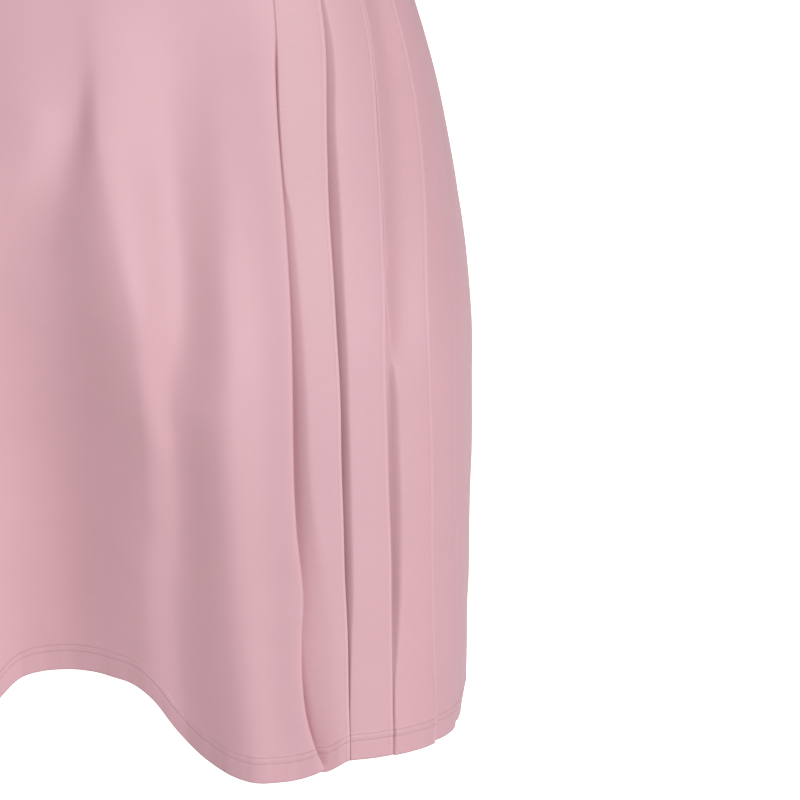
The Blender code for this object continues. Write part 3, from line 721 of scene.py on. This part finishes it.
def bodice_point(angle, climb, facing):
    """Points of the bodice. `angle` turns from the centre to the side; `climb` is -1 at the waist, 0 at the
    underarm and 1 on the shoulder seam."""
    climb = np.broadcast_to(climb, np.shape(angle))
    height = np.where(climb < 0.0, mix(UNDERARM, WAIST, -climb), UNDERARM)
    places = [girth.height for girth in GIRTHS]
    half_width = smooth_value(places, [girth.half_width for girth in GIRTHS], height)
    half_depth = smooth_value(places, [girth.half_depth for girth in GIRTHS], height)
    power = 2.0 / BODICE_SQUARENESS
    across = np.sign(angle) * half_width * np.sin(np.abs(angle)) ** power
    depth = half_depth * np.maximum(0.0, np.cos(angle)) ** power
    up = np.maximum(climb, 0.0) * math.pi / 2.0
    height = np.where(climb > 0.0, mix(UNDERARM, shoulder_height(across), np.sin(up)), height)
    depth = np.maximum(depth * np.cos(up), SEAM_GAP)
    return np.stack([across, facing * depth, height], axis=-1)


print("front neck", bodice_point(np.array([0.0]), np.array([0.3]), FRONT).round(3))

# %% Neckline and armhole


def bodice_angle(across):
    """The angle at which the bodice reaches a given width, from the underarm upwards."""
    return math.asin(min(1.0, across / GIRTHS[-1].half_width) ** (BODICE_SQUARENESS / 2.0))


def neck_angle(climb, neck_drop):
    """Where the neckline crosses a climb: an ellipse, from its lowest point up to the shoulder."""
    height = UNDERARM * (1.0 - math.sin(max(climb, 0.0) * math.pi / 2.0))
    below = min(1.0, -height / neck_drop)
    return bodice_angle(NECK_HALF_WIDTH * math.sqrt(1.0 - below * below))


def armhole_angle(climb):
    """Where the armhole crosses a climb: a round curve in from the underarm, then out to the shoulder."""
    if climb <= 0.0:
        return math.pi / 2.0
    width = GIRTHS[-1].half_width
    if climb < ARMHOLE_NARROWEST:
        share = 1.0 - climb / ARMHOLE_NARROWEST
        return bodice_angle(width - (width - ARMHOLE_INSET) * (1.0 - share * share) ** ARMHOLE_ROUND)
    share = (climb - ARMHOLE_NARROWEST) / (1.0 - ARMHOLE_NARROWEST)
    return bodice_angle(mix(ARMHOLE_INSET, SHOULDER_TIP, share * share))


def neck_bottom(neck_drop):
    """The climb at which the neckline crosses the centre."""
    return math.asin(1.0 + neck_drop / UNDERARM) / (math.pi / 2.0)


print("neck bottoms", round(neck_bottom(FRONT_NECK_DROP), 3), round(neck_bottom(BACK_NECK_DROP), 3))

# %% Make the two bodice pieces
BODICE_COLUMNS = 44
BODICE_EDGE_SPACING = math.radians(0.5)


def bodice_climbs(neck_drop):
    """Rows from the waist up, closer together round the lowest point of the neckline."""
    bottom = neck_bottom(neck_drop)
    below = np.linspace(-1.0, 0.0, 34)[:-1]
    to_neck = bottom * (1.0 - np.linspace(1.0, 0.0, 16) ** 1.5)
    above = bottom + (1.0 - bottom) * np.linspace(0.0, 1.0, 42)[1:] ** 1.7
    return np.concatenate([below, to_neck, above]), len(below) + len(to_neck) - 1


def half_row_angles(climb, neck_drop):
    """Angles of one row, from the centre or the neckline to the side or the armhole."""
    start = neck_angle(climb, neck_drop)
    end = armhole_angle(climb)
    column = np.arange(BODICE_COLUMNS)
    last = BODICE_COLUMNS - 1
    spacing = min(BODICE_EDGE_SPACING, (end - start) / last)
    angle = np.maximum(math.pi / 2.0 * column / last, start + spacing * column)
    return np.minimum(angle, end - spacing * (last - column))


def bodice_grid(neck_drop, facing):
    """The rows of the half of a bodice piece that lies at +X, and the row that meets the neckline."""
    climbs, neck_row = bodice_climbs(neck_drop)
    rows = [bodice_point(half_row_angles(climb, neck_drop), climb, facing) for climb in climbs]
    return np.array(rows), neck_row


def bodice_piece(name, neck_drop, facing):
    """Both halves in one sheet, sharing their centre points up to the neckline."""
    grid, neck_row = bodice_grid(neck_drop, facing)
    rows, columns = grid.shape[:2]
    across, down = cloth_lengths(grid)
    points = np.concatenate([grid.reshape(-1, 3), (grid * (-1.0, 1.0, 1.0)).reshape(-1, 3)])
    uvs = np.concatenate([np.stack([side * across.ravel(), -down.ravel()], axis=1) for side in (1, -1)])
    faces = grid_faces(rows, columns)
    other = faces[:, ::-1] + rows * columns
    centre = np.arange(neck_row + 1) * columns
    shared = np.arange(2 * rows * columns)
    shared[centre + rows * columns] = centre
    both = shared[np.concatenate([faces, other])]
    if facing == FRONT:
        both = both[:, ::-1]
    piece = new_piece(name, points, both, uvs)
    drop_loose_points(piece)
    thicken(piece, KNIT)
    print(name, len(piece.data.polygons), "faces")
    return piece


def drop_loose_points(piece):
    """Removes points that no face uses."""
    bpy.ops.object.select_all(action="DESELECT")
    bpy.context.view_layer.objects.active = piece
    piece.select_set(True)
    bpy.ops.object.mode_set(mode="EDIT")
    bpy.ops.mesh.select_all(action="SELECT")
    bpy.ops.mesh.delete_loose(use_verts=True, use_edges=False, use_faces=False)
    bpy.ops.object.mode_set(mode="OBJECT")
    piece.select_set(False)


bodice_front = bodice_piece("bodice_front", FRONT_NECK_DROP, FRONT)
bodice_back = bodice_piece("bodice_back", BACK_NECK_DROP, BACK)

# %% [markdown]
# ## Stitching
# The hems are sewn with a twin needle, which leaves two rows of small stitches side by side. One stitch is
# modelled and copied along lines that lie on the cloth. It dips into the cloth at both ends, where painted
# shade darkens the needle holes, and a measure of that painted shade is kept on its points.

# %% One stitch
STITCH_PITCH = 0.0018
STITCH_WIDTH = 0.00045
STITCH_HEIGHT = 0.00026

bpy.ops.object.select_all(action="DESELECT")
bpy.ops.mesh.primitive_uv_sphere_add(segments=6, ring_count=4, radius=0.5)
pattern = bpy.context.object
STITCH_POINTS = np.array([vertex.co for vertex in pattern.data.vertices])
STITCH_FACES = [tuple(polygon.vertices) for polygon in pattern.data.polygons]
bpy.ops.object.delete()
print(len(STITCH_POINTS), "points in a stitch")

# %% Lay stitches along lines


def unit(vectors):
    return vectors / np.linalg.norm(vectors, axis=-1, keepdims=True)


def read_line(line, lengths, at):
    return np.stack([np.interp(at, lengths, line[:, axis]) for axis in range(3)], axis=1)


def stitches_on(line, outward):
    """The points of a row of stitches that follows a line, flat on the cloth beneath it."""
    lengths = np.concatenate([[0.0], np.cumsum(np.linalg.norm(np.diff(line, axis=0), axis=1))])
    count = int(lengths[-1] / STITCH_PITCH)
    pitch = lengths[-1] / count
    at = (np.arange(count) + 0.5) * pitch
    centre = read_line(line, lengths, at)
    ahead = unit(read_line(line, lengths, at + pitch / 2) - read_line(line, lengths, at - pitch / 2))
    out = read_line(outward, lengths, at)
    out = unit(out - ahead * np.sum(out * ahead, axis=1, keepdims=True))
    frames = np.stack([np.cross(out, ahead) * STITCH_WIDTH, out * STITCH_HEIGHT, ahead * pitch], axis=1)
    return centre[:, None] + np.einsum("pa,nab->npb", STITCH_POINTS, frames)


def sew(name, lines):
    """One piece with all the stitches of some lines, each a pair of points and outward directions."""
    rows = [stitches_on(line, outward) for line, outward in lines]
    points = np.concatenate(rows)
    faces = []
    for number in range(len(points)):
        first = number * len(STITCH_POINTS)
        faces.extend(tuple(first + corner for corner in face) for face in STITCH_FACES)
    piece = new_piece(name, points.reshape(-1, 3), faces)
    # Painted shade: the stitch's ends, at the needle holes, are marked to be darkened
    dip = piece.data.attributes.new("dip", "FLOAT", "POINT")
    dip.data.foreach_set("value", np.tile(np.abs(STITCH_POINTS[:, 2]) * 2.0, len(points)))
    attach(piece, "root")
    print(name, len(points), "stitches")
    return piece


def hem_lines(grid, thickness):
    """The two lines of stitching of a skirt piece, on the outside of its cloth."""
    lines = []
    for above in HEM_ROWS:
        row = COARSE_ROWS + int(np.argmin(np.abs(ABOVE_HEM - above)))
        outward = unit(np.cross(grid[row + 1] - grid[row - 1], np.gradient(grid[row], axis=0)))
        lines.append((grid[row] + outward * thickness / 2.0, outward))
    return lines


front_stitches = sew("front_hem_stitches", hem_lines(front_grid, KNIT))
back_stitches = sew("back_hem_stitches", hem_lines(back_grid, KNIT))
left_stitches = sew("left_pleat_stitches", hem_lines(left_pleat_grid, PLEAT_CLOTH))
right_stitches = sew("right_pleat_stitches", hem_lines(right_pleat_grid, PLEAT_CLOTH))

# %% Stitching round the neck and the armholes
BODICE_HEM_ROWS = (0.0105, 0.0070)
OFFSET_STEPS = 6
SMALL = 1e-4


def moved_in(angles, climbs, inside, distance, facing):
    """Moves a line on the bodice sideways over the cloth, in small steps."""
    for _ in range(OFFSET_STEPS):
        here = bodice_point(angles, climbs, facing)
        by_angle = (bodice_point(angles + SMALL, climbs, facing) - here) / SMALL
        by_climb = (bodice_point(angles, climbs + SMALL, facing) - here) / SMALL
        ahead = unit(np.gradient(here, axis=0))
        angle_ahead = np.sum(by_angle * ahead, axis=1)
        climb_ahead = np.sum(by_climb * ahead, axis=1)
        across = by_angle * climb_ahead[:, None] - by_climb * angle_ahead[:, None]
        step = inside * distance / OFFSET_STEPS / np.linalg.norm(across, axis=1)
        angles = angles + climb_ahead * step
        climbs = climbs - angle_ahead * step
    return angles, climbs


def bodice_lines(angles, climbs, inside, facing):
    """Two lines of stitching inside an edge of the bodice, on both halves."""
    lines = []
    for distance in BODICE_HEM_ROWS:
        at = moved_in(angles, climbs, inside, distance, facing)
        kept = (at[1] < 1.0 - 2.0 * SMALL) & (at[0] > 0.0)
        angle, climb = at[0][kept], at[1][kept]
        here = bodice_point(angle, climb, facing)
        outward = facing * unit(np.cross(bodice_point(angle, climb + SMALL, facing) - here,
                                         bodice_point(angle + SMALL, climb, facing) - here))
        line = here + outward * KNIT / 2.0
        lines.extend([(line, outward), (line * (-1.0, 1.0, 1.0), outward * (-1.0, 1.0, 1.0))])
    return lines


def edges_of_bodice(neck_drop):
    """The neckline and the armhole of the half at +X, as angles and climbs."""
    neck = np.linspace(neck_bottom(neck_drop), 1.0 - 1e-3, 60)
    hole = np.linspace(0.0, 1.0 - 1e-3, 60) ** 1.6
    neck_angles = np.array([neck_angle(climb, neck_drop) for climb in neck])
    hole_angles = np.array([armhole_angle(climb) for climb in hole])
    return (neck_angles, neck), (hole_angles, hole)


bodice_stitches = []
for label, neck_drop, facing in (("front", FRONT_NECK_DROP, FRONT), ("back", BACK_NECK_DROP, BACK)):
    neck, hole = edges_of_bodice(neck_drop)
    lines = bodice_lines(*neck, 1.0, facing) + bodice_lines(*hole, -1.0, facing)
    bodice_stitches.append(sew(label + "_bodice_stitches", lines))

# %% [markdown]
# ## Materials
# The dress is two cloths in one pale pink. The plain panels are a smooth, fine knit. The pleats are a
# crisper cloth with faint slubs that run nearly level. The maths of a material reads best as plain sums,
# so a small class wraps a node's output and turns sums into Math nodes.

# %% Sums of sockets


class Socket:
    """An output of a node in a material; sums with it add Math nodes."""

    def __init__(self, tree, output):
        self.tree = tree
        self.output = output

    def node(self, kind, inputs, output=0, **settings):
        """A new node, its settings first and then its sockets."""
        made = self.tree.nodes.new(kind)
        for name, value in settings.items():
            setattr(made, name, value)
        for name, value in inputs.items():
            if isinstance(value, Socket):
                self.tree.links.new(value.output, made.inputs[name])
            else:
                made.inputs[name].default_value = value
        return Socket(self.tree, made.outputs[output])

    def math(self, operation, first, second):
        return self.node("ShaderNodeMath", {0: first, 1: second}, operation=operation)

    def __add__(self, other):
        return self.math("ADD", self, other)

    def __radd__(self, other):
        return self.math("ADD", other, self)

    def __sub__(self, other):
        return self.math("SUBTRACT", self, other)

    def __rsub__(self, other):
        return self.math("SUBTRACT", other, self)

    def __mul__(self, other):
        return self.math("MULTIPLY", self, other)

    def __rmul__(self, other):
        return self.math("MULTIPLY", other, self)


def start_material(name, measures="UV"):
    """An empty material with its shader, and a socket that gives places on the cloth or in the scene."""
    material = bpy.data.materials.new(name)
    material.use_nodes = True
    tree = material.node_tree
    shader = tree.nodes["Principled BSDF"]
    places = tree.nodes.new("ShaderNodeTexCoord")
    return material, shader, Socket(tree, places.outputs[measures])


def stretched(uv, across, down, turned=0.0):
    """The cloth's measures scaled by so much across and down, and turned."""
    return uv.node("ShaderNodeMapping", {"Vector": uv, "Scale": (across, down, 1.0),
                                         "Rotation": (0.0, 0.0, math.radians(turned))})


def noise(vector, scale, detail=2.0, roughness=0.5):
    return vector.node("ShaderNodeTexNoise", {"Vector": vector, "Scale": scale, "Detail": detail,
                                              "Roughness": roughness})


def blend(factor, first, second):
    """A mix of two colours."""
    return factor.node("ShaderNodeMix", {0: factor, 6: (*first, 1.0), 7: (*second, 1.0)}, output=2,
                       data_type="RGBA")


def finish_cloth(shader, colour, relief, depth, sheen):
    """Links a cloth's colour and relief, and sets what is the same all over it."""
    tree = colour.tree
    tree.links.new(colour.output, shader.inputs["Base Color"])
    bump = relief.node("ShaderNodeBump", {"Height": relief, "Strength": 1.0, "Distance": depth})
    tree.links.new(bump.output, shader.inputs["Normal"])
    shader.inputs["Roughness"].default_value = 0.62
    shader.inputs["Specular IOR Level"].default_value = 1.0
    shader.inputs["Sheen Weight"].default_value = sheen
    shader.inputs["Sheen Roughness"].default_value = 0.45


print("ready for materials")

# %% Smooth knit
knit_material, knit_shader, knit_uv = start_material("smooth_knit_fine")
fine = noise(stretched(knit_uv, 1.0, 0.8), 2600.0)
soft = noise(knit_uv, 60.0)
knit_colour = blend(0.62 * fine + 0.38 * soft, (0.535, 0.293, 0.334), (0.609, 0.340, 0.385))
finish_cloth(knit_shader, knit_colour, fine, 0.00006, 0.05)
print(knit_material.name)

# %% Pleat cloth with slubs
pleat_material, pleat_shader, pleat_uv = start_material("pleat_cloth_slub")
slub = noise(stretched(pleat_uv, 210.0, 1300.0, 3.0), 1.0, 1.0)
grain = noise(pleat_uv, 2400.0)
patch = noise(pleat_uv, 45.0)
pleat_colour = blend(0.50 * slub + 0.26 * grain + 0.24 * patch, (0.516, 0.284, 0.323), (0.600, 0.333, 0.376))
# Painted highlight: the fold edges are mixed towards a paler pink
fold_highlight_node = pleat_uv.node("ShaderNodeAttribute", {}, output=2, attribute_name="fold_highlight")
pleat_colour = fold_highlight_node.node("ShaderNodeMix", {0: 0.6 * fold_highlight_node, 6: pleat_colour,
                                                   7: (0.66, 0.40, 0.45, 1.0)}, output=2, data_type="RGBA")
finish_cloth(pleat_shader, pleat_colour, 0.7 * slub + 0.3 * grain, 0.00008, 0.05)
print(pleat_material.name)

# %% Thread
thread_material, thread_shader, thread_place = start_material("thread_polyester", "Object")
hole_shade_node = thread_place.node("ShaderNodeAttribute", {}, output=2, attribute_name="dip")
# Painted shade: the thread darkens towards its ends, where the needle holes are
thread_colour = blend(hole_shade_node.math("POWER", hole_shade_node, 2.0), (0.535, 0.300, 0.340), (0.15, 0.055, 0.085))
finish_cloth(thread_shader, thread_colour, noise(thread_place, 5000.0), 0.00002, 0.05)
print(thread_material.name)

# %% Dress the pieces in their cloth
KNIT_PIECES = {"front_panel": "front_skirt_panel", "back_panel": "back_skirt_panel",
               "bodice_front": "front_bodice", "bodice_back": "back_bodice"}
PLEAT_PIECES = {"left_pleats": "wearer_left_pleats", "right_pleats": "wearer_right_pleats"}

for pieces, material, slot in ((KNIT_PIECES, knit_material, "smooth_knit"),
                               (PLEAT_PIECES, pleat_material, "pleat_cloth")):
    for name, node in pieces.items():
        piece = bpy.data.objects[name]
        piece.data.materials.append(material)
        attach(piece, "root")
        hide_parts(node)
for piece in (front_stitches, back_stitches, *bodice_stitches, left_stitches, right_stitches):
    piece.data.materials.append(thread_material)
print("dressed", len(KNIT_PIECES) + len(PLEAT_PIECES), "pieces of cloth and their stitches")

# %% [markdown]
# ## The sheets of cloth
# There are six sheets of cloth. The pleats are cut twice as wide as they look.

print("six sheets")

# %% [markdown]
# ## Floor and light
# The dress was photographed on white, in one broad light from the front and the right. Slopes that face
# it gleam and those that turn away go dark, which is what draws the soft folds. The floor glows only
# behind the dress: it makes the picture's background white without filling the folds with light.

# %% Floor
bpy.ops.object.select_all(action="DESELECT")
bpy.ops.mesh.primitive_plane_add(size=60.0, location=(0.0, 0.0, -1.25))
floor = bpy.context.object
floor.name = "floor"
floor_material, floor_shader, floor_place = start_material("pale_floor", "Object")
behind = floor_place.node("ShaderNodeSeparateXYZ", {0: floor_place}, output=1)
glow = behind.node("ShaderNodeMapRange", {"Value": behind, "From Min": 0.60, "From Max": 0.85,
                                          "To Min": 0.2, "To Max": 0.8})
floor_material.node_tree.links.new(glow.output, floor_shader.inputs["Emission Color"])
floor_shader.inputs["Emission Strength"].default_value = 1.0
floor_shader.inputs["Base Color"].default_value = (0.93, 0.93, 0.93, 1.0)
floor_shader.inputs["Roughness"].default_value = 0.9
floor.data.materials.append(floor_material)
print("floor at", floor.location.z)

# %% World and lights
world = bpy.data.worlds.new("white_studio")
bpy.context.scene.world = world
world.use_nodes = True
background = world.node_tree.nodes["Background"]
background.inputs["Color"].default_value = (1.0, 1.0, 1.0, 1.0)
background.inputs["Strength"].default_value = 0.31
bpy.context.scene.view_settings.view_transform = "Standard"


def add_sun(name, azimuth, elevation, strength, softness):
    """A distant light from a direction: azimuth 0 is in front of the dress, and 90 to the viewer's right."""
    light = bpy.data.lights.new(name, "SUN")
    light.energy = strength
    light.angle = math.radians(softness)
    sun = bpy.data.objects.new(name, light)
    sun.rotation_euler = (math.radians(90.0 - elevation), 0.0, math.radians(azimuth))
    bpy.context.scene.collection.objects.link(sun)


add_sun("key_light", 29.0, 19.0, 2.42, 22.0)
print("a white world and one wide light")
